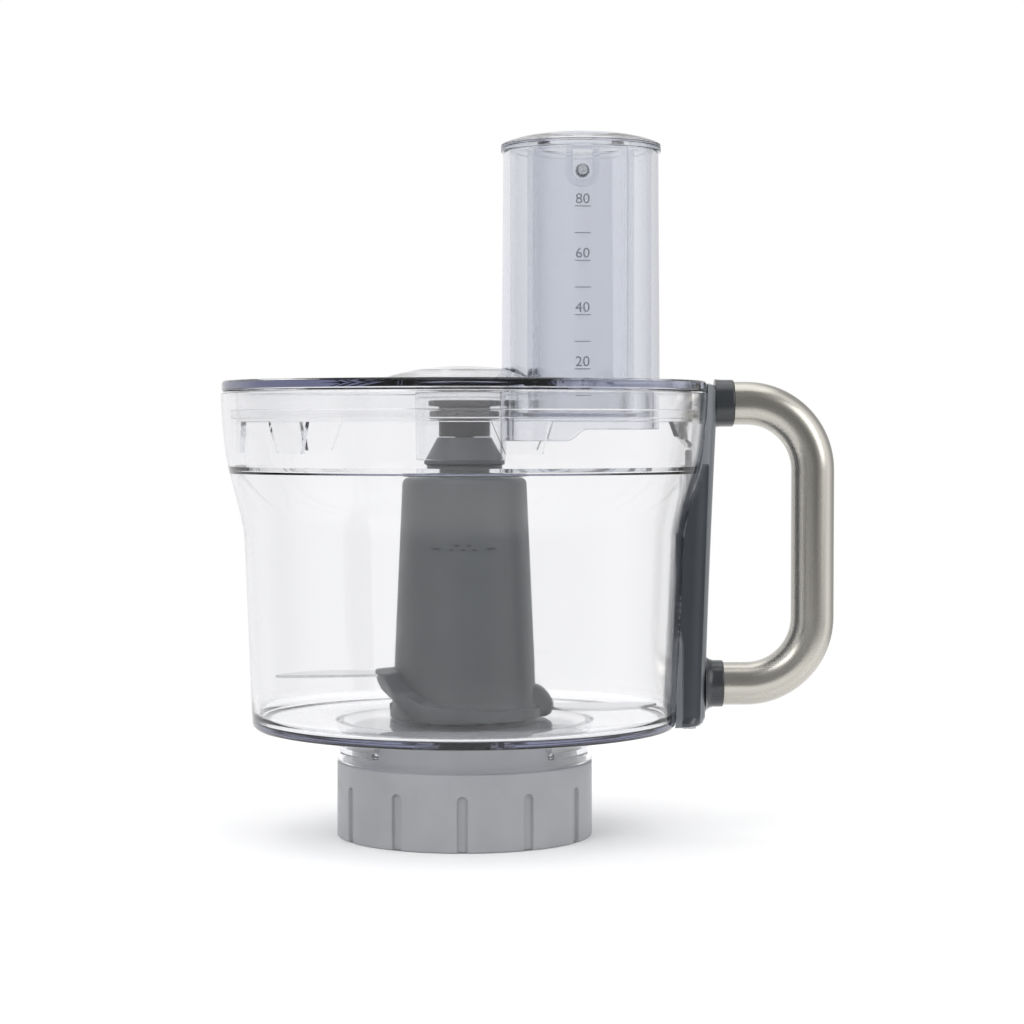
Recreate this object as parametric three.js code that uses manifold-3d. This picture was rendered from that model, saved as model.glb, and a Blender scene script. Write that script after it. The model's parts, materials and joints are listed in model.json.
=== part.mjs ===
// Food processor bowl unit on a fluted drive base: clear bowl and lid, feed tube with two pushers,
// a two-blade knife on a tall hub, a steel tube handle, and a planetary reduction in the base.
// Millimetres, +Z up, base standing on Z = 0. Each function below builds one piece about the bowl's axis.
import * as THREE from 'three';
import { mergeVertices } from 'three/addons/utils/BufferGeometryUtils.js';
import Module from 'manifold-3d';

const wasm = await Module();
wasm.setup();

// ---------------------------------------------------------------- driving dimensions
const TURN = Math.PI * 2;
const ROUND = 36; // sides of a large round piece
const MEDIUM = 24; // sides of a medium one
const SMALL = 12; // sides of a small one
const GAP = 0.3; // between pieces that touch

const rimRadius = 110.6; // bowl's rim
const rimZ = 201.5;
const wall = 2.8; // bowl's wall
const floorZ = 49.7; // underside of the bowl's floor
const floorTop = 52.7;
const ledgeZ = 166.5; // small step inside the bowl, below the lid's lugs
const chimneyRadius = 19;
const chimneyTop = 146;

const baseRadius = 58.3; // fluted drive base
const shoulderZ = 34.5; // where the bowl's skirt sits on the base
const collarRadius = 51.5;
const collarTop = 46.5;
const skirtRadius = 58.5; // bowl's skirt round the collar
const fluteCount = 12;
const bayonetCount = 3;
const bayonetArc = 30; // degrees

const gearModule = 1.8;
const pressureAngle = THREE.MathUtils.degToRad(25);
const sunTeeth = 15;
const planetTeeth = 15;
const ringTeeth = sunTeeth + 2 * planetTeeth;
const toothSlack = 0.25; // taken off each tooth's thickness
const planetCount = 3;
const planetOrbit = (gearModule * (sunTeeth + planetTeeth)) / 2;
const gearLow = 16.8;
const gearHigh = 27;
const ringOuter = 50.8;
const coverScrewOrbit = 46.8;
const shaftRadius = 6; // output shaft

const lidTop = 207;
const lidLow = 202;
const skirtLow = 188.5; // lower edge of the lid's inner skirt
const lidSkirtOuter = 103.8;
const lidSkirtInner = 101.8;
const lugLow = 175;
const unlockAngle = 25; // degrees the lid turns to unlock

const tubeX = 53; // feed tube's axis from the bowl's axis
const tubeTop = 310.7;
const tubeInner = 32.9;
const tubeLow = 36; // outer radius at the lid
const tubeHigh = 35.3; // outer radius at the mouth
const pusherLow = 190;
const pusherRadius = 32.2;
const flangeRadius = 36.4;
const smallPusherRadius = 21.8;
const capRadius = 35.9;
const topZ = 320;

const handleRadius = 10.25;
const handleX = 158.6; // centreline of the upright run
const handleTopZ = 196.6;
const handleLowZ = 69.3;
const handleBend = 30.5;
const topSocketEnd = 122.6;
const lowSocketEnd = 118;
const lowBladeZ = 57;
const highBladeZ = 73;
const bladeThickness = 1.2;

const rodX = 103; // interlock rod in the handle column
const rodRadius = 1.8;
const rodTravel = 5;
const rodTop = 176;
const springLow = 90;
const springHigh = 109.7;
const springRadius = 2.8;

const axisX = (rimRadius - handleX - handleRadius) / 2; // bowl's axis from the middle of the whole

// ---------------------------------------------------------------- solids
const at = (r, z) => new THREE.Vector2(r, z);

function toSolid(geometry) {
  const bare = geometry.clone();
  bare.deleteAttribute('normal');
  bare.deleteAttribute('uv');
  const merged = mergeVertices(bare, 1e-4);
  const corners = Array.from(merged.index.array);
  const faces = [];
  for (let i = 0; i < corners.length; i += 3) {
    const [a, b, c] = corners.slice(i, i + 3);
    if (a !== b && b !== c && c !== a) faces.push([a, b, c]);
  }
  const p = merged.attributes.position;
  const [u, v, w] = [0, 1, 2].map(() => new THREE.Vector3());
  let volume = 0;
  for (const [a, b, c] of faces) {
    u.fromBufferAttribute(p, a);
    v.fromBufferAttribute(p, b);
    w.fromBufferAttribute(p, c);
    volume += u.dot(v.cross(w));
  }
  const outward = volume > 0 ? faces : faces.map(([a, b, c]) => [a, c, b]);
  return new wasm.Manifold(
    new wasm.Mesh({
      numProp: 3,
      vertProperties: new Float32Array(p.array),
      triVerts: new Uint32Array(outward.flat()),
    }),
  );
}

function toGeometry(solid) {
  const mesh = solid.getMesh();
  const geometry = new THREE.BufferGeometry();
  geometry.setAttribute('position', new THREE.BufferAttribute(mesh.vertProperties, 3));
  geometry.setIndex(new THREE.BufferAttribute(mesh.triVerts, 1));
  return geometry;
}

const join = (...parts) => toGeometry(parts.map(toSolid).reduce((a, b) => a.add(b)));
const cut = (body, ...tools) => {
  const solids = tools.map(toSolid);
  return toGeometry(solids.reduce((a, b) => a.subtract(b), toSolid(body)));
};
const common = (a, b) => toGeometry(toSolid(a).intersect(toSolid(b)));

// A closed or axis-to-axis outline of (radius, z) turned about Z.
function turned(outline, sides) {
  return new THREE.LatheGeometry(outline, sides).rotateX(Math.PI / 2);
}

function ring(inner, outer, low, high, sides) {
  return turned([at(inner, low), at(outer, low), at(outer, high), at(inner, high), at(inner, low)], sides);
}

function rod(radius, low, high, sides, x = 0, y = 0) {
  return new THREE.CylinderGeometry(radius, radius, high - low, sides)
    .rotateX(Math.PI / 2)
    .translate(x, y, (low + high) / 2);
}

function block([x0, x1], [y0, y1], [z0, z1]) {
  const box = new THREE.BoxGeometry(x1 - x0, y1 - y0, z1 - z0);
  return box.translate((x0 + x1) / 2, (y0 + y1) / 2, (z0 + z1) / 2);
}

// A solid through convex sections that all have the same number of points.
function loft(sections) {
  const count = sections[0].length;
  const last = (sections.length - 1) * count;
  const faces = [];
  for (let s = 0; s < sections.length - 1; s++) {
    for (let i = 0; i < count; i++) {
      const [a, b] = [s * count + i, s * count + ((i + 1) % count)];
      faces.push(a, b, b + count, a, b + count, a + count);
    }
  }
  for (let i = 1; i < count - 1; i++) faces.push(0, i + 1, i, last, last + i, last + i + 1);
  const geometry = new THREE.BufferGeometry().setFromPoints(sections.flat());
  return geometry.setIndex(faces);
}

// An outline in the tangential and Z directions, standing between two radii at an angle in degrees.
function standing(shape, inner, outer, angle) {
  return new THREE.ExtrudeGeometry(shape, { depth: outer - inner, bevelEnabled: false, curveSegments: 4 })
    .rotateX(Math.PI / 2)
    .rotateZ(Math.PI)
    .translate(0, inner, 0)
    .rotateZ(THREE.MathUtils.degToRad(angle - 90));
}

function screw(headRadius, headHeight, radius, length) {
  const head = [at(0, 0), at(headRadius, 0), at(headRadius, headHeight)];
  return turned([...head, at(radius, headHeight), at(radius, length), at(0, length)], 10);
}

const around = (count, make) => Array.from({ length: count }, (_, i) => make((i * TURN) / count, i));

// ---------------------------------------------------------------- gears
function toothHalfAngle(teeth, radius, slack) {
  const pitch = (gearModule * teeth) / 2;
  const involute = (angle) => Math.tan(angle) - angle;
  const flank = Math.acos(Math.min(1, (pitch * Math.cos(pressureAngle)) / radius));
  return Math.PI / (2 * teeth) - slack / (2 * pitch) + involute(pressureAngle) - involute(flank);
}

// Points of a toothed outline, whose teeth are widest at the first of the radii.
function toothedOutline(teeth, radii, slack) {
  return around(teeth, (centre) => {
    const side = radii.map((r) => [r, toothHalfAngle(teeth, r, slack)]);
    const rising = side.map(([r, a]) => at(r * Math.cos(centre - a), r * Math.sin(centre - a)));
    const falling = side.map(([r, a]) => at(r * Math.cos(centre + a), r * Math.sin(centre + a))).reverse();
    return [...rising, ...falling];
  }).flat();
}

function gear(teeth, bore) {
  const pitch = (gearModule * teeth) / 2;
  const radii = [pitch - 1.05 * gearModule, pitch, pitch + 0.8 * gearModule];
  const shape = new THREE.Shape(toothedOutline(teeth, radii, toothSlack));
  shape.holes.push(new THREE.Path().absarc(0, 0, bore, 0, TURN));
  const options = { depth: gearHigh - gearLow, bevelEnabled: false, curveSegments: 6 };
  return new THREE.ExtrudeGeometry(shape, options).translate(0, 0, gearLow);
}

function ringGear() {
  const pitch = (gearModule * ringTeeth) / 2;
  const radii = [pitch - 0.8 * gearModule, pitch + 1.05 * gearModule];
  const shape = new THREE.Shape().absarc(0, 0, ringOuter, 0, TURN);
  shape.holes.push(new THREE.Path(toothedOutline(ringTeeth, radii, -toothSlack)));
  const body = new THREE.ExtrudeGeometry(shape, { depth: 12.7, bevelEnabled: false, curveSegments: 18 });
  return cut(body.translate(0, 0, 15), ...coverScrewHoles(14, 28));
}

// ---------------------------------------------------------------- drive base
const coverScrewPlaces = around(3, (angle) => [
  coverScrewOrbit * Math.cos(angle + TURN / 12),
  coverScrewOrbit * Math.sin(angle + TURN / 12),
]);

function coverScrewHoles(low, high) {
  return coverScrewPlaces.map(([x, y]) => rod(1.9, low, high, 8, x, y));
}

function fluteCutters() {
  const [halfWidth, top] = [2.2, 24.8];
  const outline = new THREE.Shape([at(-halfWidth, -1), at(halfWidth, -1), at(halfWidth, top - halfWidth)]);
  outline.absarc(0, top - halfWidth, halfWidth, 0, Math.PI);
  const [floor, mouth, step] = [baseRadius - 1.5, baseRadius + 2, 360 / fluteCount];
  return around(fluteCount, (_, i) => standing(outline, floor, mouth, i * step));
}

// An arc of a flat ring, centred on an angle in degrees.
function arcLug(inner, outer, low, high, angle, span) {
  const [from, to] = [angle - span / 2, angle + span / 2].map(THREE.MathUtils.degToRad);
  const shape = new THREE.Shape().absarc(0, 0, outer, from, to);
  shape.absarc(0, 0, inner, to, from, true);
  const options = { depth: high - low, bevelEnabled: false, curveSegments: 4 };
  return new THREE.ExtrudeGeometry(shape, options).translate(0, 0, low);
}

function baseShell() {
  const shell = turned(
    [
      at(55.5, 0), at(baseRadius, 0), at(baseRadius, shoulderZ - 0.8), at(baseRadius - 0.8, shoulderZ),
      at(collarRadius, shoulderZ), at(collarRadius, collarTop - 0.8), at(collarRadius - 0.8, collarTop),
      at(9.3, collarTop), at(9.3, 33.8), at(12, 33.8), at(12, collarTop - 3), at(49, collarTop - 3),
      at(49, 33), at(44.5, 33), at(44.5, 28), at(51.1, 28), at(51.1, 12.6), at(53.5, 12.6),
      at(53.5, shoulderZ - 2.8), at(55.5, shoulderZ - 2.8), at(55.5, 0),
    ],
    ROUND,
  );
  const lugs = around(bayonetCount, (_, i) =>
    arcLug(collarRadius - 1, 54.8, 42, 44.5, 90 + (i * 360) / bayonetCount, bayonetArc),
  );
  return cut(join(shell, ...lugs), ...fluteCutters(), ...coverScrewHoles(27, 32));
}

function gearboxCover() {
  return cut(ring(7.3, ringOuter, 12.9, 14.7, ROUND), ...coverScrewHoles(12, 16));
}

function inputBush() {
  const flange = [at(4.8, 11.2), at(9, 11.2), at(9, 12.6)];
  return turned([...flange, at(7, 12.6), at(7, 14.9), at(4.8, 14.9), at(4.8, 11.2)], SMALL);
}

function driveDog() {
  const slots = [block([-13, 13], [-3, 3], [1, 6]), block([-3, 3], [-13, 13], [1, 6])];
  return cut(rod(12, 1.5, 10.9, SMALL), ...slots, rod(4.8, 7, 12, SMALL));
}

function planetCarrier() {
  const holes = around(planetCount, (a) =>
    rod(3.3, 27, 32, 12, planetOrbit * Math.cos(a), planetOrbit * Math.sin(a)),
  );
  return cut(ring(shaftRadius + GAP, 32, 28, 31.4, MEDIUM), ...holes);
}

function planetPin() {
  return turned([at(0, 15.6), at(4.6, 15.6), at(4.6, 16.5), at(3, 16.5), at(3, 31.2), at(0, 31.2)], 12);
}

function outputShaft() {
  return join(rod(shaftRadius, 28.2, 47.5, SMALL), rod(shaftRadius - 0.2, 47, 60, 6));
}

function driveShaft() {
  const body = join(rod(12, 48.2, 147, 20), rod(6.6, 146, 160, 6));
  return cut(body, rod(6.3, 47, 61, 6));
}

// ---------------------------------------------------------------- bowl
// The bowl's outer outline from its lower corner to its rim, moved out by an offset.
function wallOutline(offset) {
  const flare = new THREE.CubicBezierCurve(at(100.1, 134), at(100.8, 149), at(107.9, 163), at(109.2, 180));
  const points = [at(94.4, floorZ), at(96.2, 50.4), at(96.9, 52.2), ...flare.getPoints(6), at(110.1, 189)];
  return [...points, at(rimRadius, 198), at(rimRadius, rimZ)].map((p) => at(p.x + offset, p.y));
}

function bowlInside() {
  const skin = wallOutline(-wall).reverse();
  const upper = skin.filter((p) => p.y > ledgeZ + 2);
  const lower = skin.filter((p) => p.y > 60 && p.y < ledgeZ - 1);
  const ledge = [at(105.2, ledgeZ + 0.4), at(104, ledgeZ - 0.4)];
  return [...upper, ...ledge, ...lower, at(94.2, 58), at(92.8, 54.4), at(89, floorTop)];
}

function bowlBody() {
  const body = turned(
    [
      at(15.5, floorZ), at(skirtRadius - 2.5, floorZ), at(skirtRadius - 2.5, shoulderZ + GAP),
      at(skirtRadius, shoulderZ + GAP), at(skirtRadius, floorZ), ...wallOutline(0), ...bowlInside(),
      at(chimneyRadius, floorTop), at(chimneyRadius - 0.6, chimneyTop), at(15.5, chimneyTop),
      at(15.5, floorZ),
    ],
    ROUND,
  );
  const lugs = around(bayonetCount, (_, i) =>
    arcLug(52.3, skirtRadius - 1.5, 38.5, 41.5, 90 + (i * 360) / bayonetCount, bayonetArc),
  );
  const column = [
    block([95.5, 98.8], [-10, 10], [53.5, 138]), // rib up the wall
    block([95.5, 106.4], [-5, 5], [53.5, 60]), // takes the cover's screw
    block([95.5, 106.4], [-6, 6], [86, springLow - GAP]), // lower rod guide, under the spring
    block([99.4, 106.4], [-6, 6], [136, ledgeZ]), // upper rod guide, through the ledge
  ];
  const holes = [rod(rodRadius + 0.5, 80, 170, 12, rodX), rod(1.9, 53, 59, 10, rodX)];
  return cut(join(body, ...lugs, ...column), ...holes);
}

// ---------------------------------------------------------------- handle and column
function handleTube() {
  const k = 0.5523; // a quarter circle as a Bezier curve
  const [x, top, low, r] = [handleX, handleTopZ, handleLowZ, handleBend];
  const p = (px, pz) => new THREE.Vector3(px, 0, pz);
  const path = new THREE.CurvePath();
  path.add(new THREE.LineCurve3(p(topSocketEnd + GAP, top), p(x - r, top)));
  const bend = (...points) => path.add(new THREE.CubicBezierCurve3(...points));
  bend(p(x - r, top), p(x - r + k * r, top), p(x, top - r + k * r), p(x, top - r));
  path.add(new THREE.LineCurve3(p(x, top - r), p(x, low + r)));
  bend(p(x, low + r), p(x, low + r - k * r), p(x - r + k * r, low), p(x - r, low));
  path.add(new THREE.LineCurve3(p(x - r, low), p(lowSocketEnd + GAP, low)));
  const section = new THREE.Shape().absarc(0, 0, handleRadius, 0, TURN);
  section.holes.push(new THREE.Path().absarc(0, 0, handleRadius - 1.5, 0, TURN));
  return new THREE.ExtrudeGeometry(section, { extrudePath: path, steps: 24, curveSegments: 5 });
}

// A socket along X, from its seat on the column to the tube's end, with a spigot inside the tube.
function handleSocket(inner, seat, end, z) {
  const outline = [
    at(0, inner), at(8.4, inner), at(8.4, seat), at(11.6, seat), at(10.6, seat + 2.4), at(10.6, end),
    at(8.1, end), at(8.1, end + 6), at(0, end + 6),
  ];
  return turned(outline, 24).rotateY(Math.PI / 2).translate(0, 0, z);
}

// Column's outer side at a height.
function columnX(z) {
  return THREE.MathUtils.lerp(109.6, 114.2, Math.min(1, Math.max(0, (z - 57) / 130)) ** 1.3);
}

// D-shaped plan section of the column: flat sides, round outer corners, inset from the outer skin.
function columnSection(z, inset, pull = 0) {
  const [half, corner, x] = [17 - inset, 9 - inset / 2, columnX(z) - inset - pull];
  const points = [new THREE.Vector3(88, half, z), new THREE.Vector3(88, -half, z)];
  for (const side of [-1, 1]) {
    for (let i = 0; i <= 4; i++) {
      const turn = ((side < 0 ? i : 4 - i) / 4) * (Math.PI / 2);
      const y = side * (half - corner + corner * Math.cos(turn));
      points.push(new THREE.Vector3(x - corner + corner * Math.sin(turn), y, z));
    }
  }
  return points;
}

function handleCover() {
  const levels = [54, 75, 100, 130, 160, 187, 203];
  const sides = levels.map((z) => columnSection(z, 0));
  const skin = loft([columnSection(50, 0, 3.5), ...sides, columnSection(206, 0, 2)]);
  const hollow = loft([52.4, 75, 100, 130, 160, 184].map((z) => columnSection(z, 2.4)));
  const bowlSide = [at(94.8, 40), ...wallOutline(0.4), at(rimRadius + 0.4, 210)];
  const bowlClear = turned([at(0, 40), ...bowlSide, at(0, 210)], ROUND);
  const along = (radius, z) => rod(radius, 92, 130, 20).rotateY(Math.PI / 2).translate(0, 0, z);
  const holes = [along(8.8, handleTopZ), along(8.8, handleLowZ), rod(2.2, 48, 53, 10, rodX)];
  return cut(skin, hollow, bowlClear, ...holes);
}

function interlockRod() {
  return turned(
    [
      at(0, 83), at(rodRadius, 83), at(rodRadius, 110), at(3.3, 110), at(3.3, 112), at(rodRadius, 112),
      at(rodRadius, rodTop - 1), at(rodRadius - 0.7, rodTop), at(0, rodTop),
    ],
    12,
  ).translate(rodX, 0, 0);
}

class Helix extends THREE.Curve {
  getPoint(t, target = new THREE.Vector3()) {
    const angle = 6 * TURN * t;
    const height = THREE.MathUtils.lerp(springLow + 0.5, springHigh - 0.5, t);
    return target.set(rodX + springRadius * Math.cos(angle), springRadius * Math.sin(angle), height);
  }
}

function interlockSpring() {
  const wire = new THREE.Shape().absarc(0, 0, 0.45, 0, TURN);
  return new THREE.ExtrudeGeometry(wire, { extrudePath: new Helix(), steps: 48, curveSegments: 2 });
}

// ---------------------------------------------------------------- lid and feed tube
// Ramps under the lid's skirt. The one at the handle lets the interlock rod rise as the lid turns.
function lidRamps() {
  const band = ring(lidSkirtInner, lidSkirtOuter, lugLow - 1, skirtLow + 1, ROUND);
  const reach = lidSkirtInner * THREE.MathUtils.degToRad(unlockAngle);
  const cam = new THREE.Shape([
    at(8, skirtLow + 0.5), at(5, rodTop + 0.5), at(0, rodTop + 0.5), at(-2 - reach, rodTop + rodTravel + 1.2),
    at(-8 - reach, skirtLow + 0.5),
  ]);
  const root = skirtLow + 0.5;
  const lug = new THREE.Shape([at(-14, root), at(-8, lugLow), at(8, lugLow), at(11, root)]);
  const lugs = [75, 135, 195, 225, 285].map((angle) => standing(lug, 95, 110, angle));
  const tools = [standing(cam, 95, 110, 0), ...lugs];
  return tools.map((tool) => common(band, tool));
}

function lid() {
  const dome = new THREE.QuadraticBezierCurve(at(0, 214), at(26, 214), at(44, 206)).getPoints(5);
  const under = dome.map((p) => at(p.x, p.y - 2.6));
  const body = turned(
    [
      ...under.filter((p) => p.x < 19), at(19.6, 209.4), at(19.6, 171.5), at(22.2, 171.5), at(22.6, 208.6),
      ...under.filter((p) => p.x > 23), at(lidSkirtInner, 203.4), at(lidSkirtInner, skirtLow),
      at(lidSkirtOuter, skirtLow), at(lidSkirtOuter, lidLow), at(109.6, lidLow), at(110.2, lidLow + 0.6),
      at(110.2, lidTop - 0.8), at(109.4, lidTop), at(102.4, lidTop), at(101, 206), ...dome.reverse(),
    ],
    ROUND,
  );
  return cut(join(body, ...lidRamps()), rod(tubeLow + GAP, 160, 230, MEDIUM, tubeX));
}

function feedTube() {
  const tube = turned(
    [
      at(tubeInner, 178), at(tubeLow, 178), at(tubeLow, 215), at(tubeHigh, tubeTop), at(tubeInner, tubeTop),
      at(tubeInner, 178),
    ],
    MEDIUM,
  );
  const slant = block([-60, 60], [-60, 60], [-20, 0]).rotateY(-0.056).translate(0, 0, 182);
  return cut(tube, slant).translate(tubeX, 0, 0);
}

// ---------------------------------------------------------------- pushers
const detentZ = 300;

function pusherBody() {
  const body = turned(
    [
      at(22.3, pusherLow), at(pusherRadius, pusherLow), at(pusherRadius, tubeTop + GAP),
      at(flangeRadius, tubeTop + GAP), at(flangeRadius, tubeTop + 2.4), at(flangeRadius - 0.5, tubeTop + 2.8),
      at(30.2, tubeTop + 2.8), at(30.2, 192.4), at(24.3, 192.4), at(24.3, 311), at(22.3, 311),
      at(22.3, pusherLow),
    ],
    MEDIUM,
  );
  const tab = new THREE.Shape([at(5.5, tubeTop), at(-5.5, tubeTop), at(-5.5, detentZ)]);
  tab.absarc(0, detentZ, 5.5, Math.PI, TURN);
  const hole = new THREE.Shape().absarc(0, detentZ, 3.6, 0, TURN);
  return cut(join(body, standing(tab, 27.4, 31.6, -90)), standing(hole, 25, 36, -90)).translate(tubeX, 0, 0);
}

function detentBall() {
  return new THREE.SphereGeometry(3.2, 12, 8).translate(tubeX, -29.1, detentZ);
}

function detentSpring() {
  return block([tubeX - 4, tubeX + 4], [-25.6, -25.1], [detentZ - 7, detentZ + 7]);
}

function smallPusher() {
  const r = smallPusherRadius;
  return turned(
    [
      at(0, pusherLow + 0.6), at(r, pusherLow + 0.6), at(r, 313.2), at(r - 2, 313.2),
      at(r - 2, pusherLow + 2.8),
      at(0, pusherLow + 2.8),
    ],
    MEDIUM,
  ).translate(tubeX, 0, 0);
}

function pusherCap() {
  const crown = new THREE.QuadraticBezierCurve(at(capRadius, 315.8), at(30, topZ), at(0, topZ)).getPoints(5);
  const plug = [at(0, 311), at(19.4, 311), at(19.4, 313.8), at(capRadius - 0.6, 313.8), at(capRadius, 314.4)];
  return turned([...plug, ...crown], MEDIUM).translate(tubeX, 0, 0);
}

// ---------------------------------------------------------------- knife
// A sloping wing round the hub's foot, over one blade's root: tip height and reach follow the angle.
function hubWing(startAngle, startZ, endZ) {
  const [sweep, steps] = [165, 11];
  const sections = [];
  for (let i = 0; i <= steps; i++) {
    const share = i / steps;
    const angle = THREE.MathUtils.degToRad(startAngle - 15 + sweep * share);
    const reach = 32.6 + 8.6 * Math.sin(Math.PI * Math.min(1, share * 5.5 + 0.06) * 0.5) * (1 - share) ** 0.8;
    const z = THREE.MathUtils.lerp(startZ, endZ, Math.min(1, share * 1.5) ** 0.8);
    const p = (r, pz) => new THREE.Vector3(r * Math.cos(angle), r * Math.sin(angle), pz);
    sections.push([p(30.6, z - 2), p(reach, z - 1.2), p(reach, z), p(30.6, z + 9)]);
  }
  return loft(sections);
}

function knifeHub() {
  const body = turned(
    [
      at(0, 158), at(24.6, 158), at(29.5, 53.6), at(32.3, 53.6), at(32, 78.5), at(28.4, 160.5),
      at(27.6, 162.6), at(25.8, 163.9), at(17.2, 166.4), at(17.2, 169.3), at(18.5, 169.8), at(18.5, 170.6),
      at(12.3, 181.7), at(4.5, 181.7), at(4.5, 172), at(0, 172),
    ],
    MEDIUM,
  );
  const foot = [hubWing(180, 75, 56), hubWing(0, 60, 56)];
  return cut(join(body, rod(10.5, 149.5, 159, SMALL), ...foot), rod(7, 149, 161.5, 6));
}

// Crescent blade lying along +X from the hub's wall, convex cutting edge towards -Y.
function blade(low) {
  const outline = new THREE.Shape();
  outline.moveTo(29.8, 10);
  outline.quadraticCurveTo(36, 12, 40, 11);
  outline.quadraticCurveTo(58, 2, 88, -4);
  outline.lineTo(76, -18);
  outline.quadraticCurveTo(52, -27, 29.8, -15);
  outline.lineTo(29.8, 10);
  const options = { depth: bladeThickness, bevelEnabled: false, curveSegments: 8 };
  return new THREE.ExtrudeGeometry(outline, options).translate(0, 0, low);
}

// Room in the hub's wall and wing for a blade's root.
function bladePocket(low) {
  return block([29.5, 45], [-24, 14], [low - GAP, low + bladeThickness + GAP]);
}

function knifeCap() {
  return turned(
    [
      at(0, 172.6), at(4.2, 172.6), at(4.2, 182), at(11.7, 182), at(11.7, 189.6), at(16, 190), at(16, 193.5),
      at(11.7, 194), at(11.7, 195.6), at(16.5, 196), at(16.5, 198), at(15.8, 198.5), at(0, 198.5),
    ],
    24,
  );
}

// ---------------------------------------------------------------- materials and assembly
const finish = (color, roughness, metalness = 0, opacity = 1) =>
  new THREE.MeshStandardMaterial({ color, roughness, metalness, opacity, transparent: opacity < 1 });

const clearPlastic = finish(0xdfe2ee, 0.08, 0, 0.35);
const baseGrey = finish(0x97999a, 0.5);
const hubGrey = finish(0x5e6264, 0.45);
const columnGrey = finish(0x43474a, 0.35);
const blackPlastic = finish(0x2b2d30, 0.4);
const brushedSteel = finish(0xa9a79f, 0.35, 1);
const steel = finish(0xc8cacc, 0.2, 1);
const gearPlastic = finish(0xd9d6c8, 0.5);
const bronze = finish(0xa9793f, 0.35, 1);
const sealRubber = finish(0xb9bcc2, 0.7);

const assembly = new THREE.Group();
assembly.position.x = axisX;

function place(name, geometry, material) {
  const mesh = new THREE.Mesh(toGeometry(toSolid(geometry)), material);
  mesh.name = name;
  assembly.add(mesh);
  return mesh;
}

place('base_shell', baseShell(), baseGrey);
place('ring_gear', ringGear(), gearPlastic);
place('gearbox_cover', gearboxCover(), blackPlastic);
place('input_bush', inputBush(), bronze);
place('output_bush', ring(shaftRadius + GAP, 9, 36, 43, SMALL), bronze);
place('shaft_seal', ring(shaftRadius + GAP, 9, 43.5, 46.2, SMALL), sealRubber);
place('thrust_washer', ring(shaftRadius + 0.6, 11.5, 32, 33.2, SMALL), steel);
coverScrewPlaces.forEach(([x, y], i) => {
  place(`cover_screw_${i + 1}`, screw(2.8, 1.6, 1.5, 20), steel).position.set(x, y, 11);
});

place('input_shaft', rod(4.5, 7.3, 27, SMALL), steel);
place('drive_dog', driveDog(), blackPlastic);
place('sun_gear', gear(sunTeeth, 4.8), steel);

around(planetCount, (angle, i) => {
  const [x, y] = [planetOrbit * Math.cos(angle), planetOrbit * Math.sin(angle)];
  const planet = place(`planet_gear_${i + 1}`, gear(planetTeeth, 3.3), gearPlastic);
  planet.position.set(x, y, 0);
  planet.rotation.z = angle;
  place(`planet_pin_${i + 1}`, planetPin(), steel).position.set(x, y, 0);
});
place('planet_carrier', planetCarrier(), steel);
place('output_shaft', outputShaft(), steel);
place('drive_shaft', driveShaft(), blackPlastic);

const pockets = [bladePocket(lowBladeZ), bladePocket(highBladeZ).rotateZ(Math.PI)];
place('knife_hub', cut(knifeHub(), ...pockets), hubGrey);
place('knife_blade_low', blade(lowBladeZ), steel);
place('knife_blade_high', blade(highBladeZ).rotateZ(Math.PI), steel);
place('knife_cap', knifeCap(), blackPlastic);

place('bowl', bowlBody(), clearPlastic);
place('handle_tube', handleTube(), brushedSteel);
place('handle_socket_top', handleSocket(111.4, 114.6, topSocketEnd, handleTopZ), columnGrey);
const screwHole = rod(2.2, 100, 125, 10).rotateY(Math.PI / 2).translate(0, 0, handleLowZ);
place('handle_socket_bottom', cut(handleSocket(104, 110.2, lowSocketEnd, handleLowZ), screwHole), columnGrey);
place('handle_cover', handleCover(), columnGrey);
place('handle_screw', screw(3.4, 2.6, 1.9, 19).rotateY(Math.PI / 2).translate(101, 0, handleLowZ), steel);
place('column_screw', screw(3.2, 1.5, 1.6, 9.5).translate(rodX, 0, 48.2), steel);
place('interlock_spring', interlockSpring(), steel);
place('interlock_rod', interlockRod(), blackPlastic);

place('lid_seal', ring(lidSkirtOuter + 0.8, 106.4, 190, 194, ROUND), sealRubber);
place('lid', lid(), clearPlastic);
place('feed_tube', feedTube(), clearPlastic);
place('pusher_body', pusherBody(), clearPlastic);
place('detent_ball', detentBall(), steel);
place('detent_spring', detentSpring(), steel);
place('small_pusher', smallPusher(), clearPlastic);
place('pusher_cap', pusherCap(), clearPlastic);

const foodProcessor = new THREE.Group();
foodProcessor.add(assembly);

export default foodProcessor;
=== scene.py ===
import json
import math

import bmesh
import bpy
from mathutils import Matrix, Vector


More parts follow.
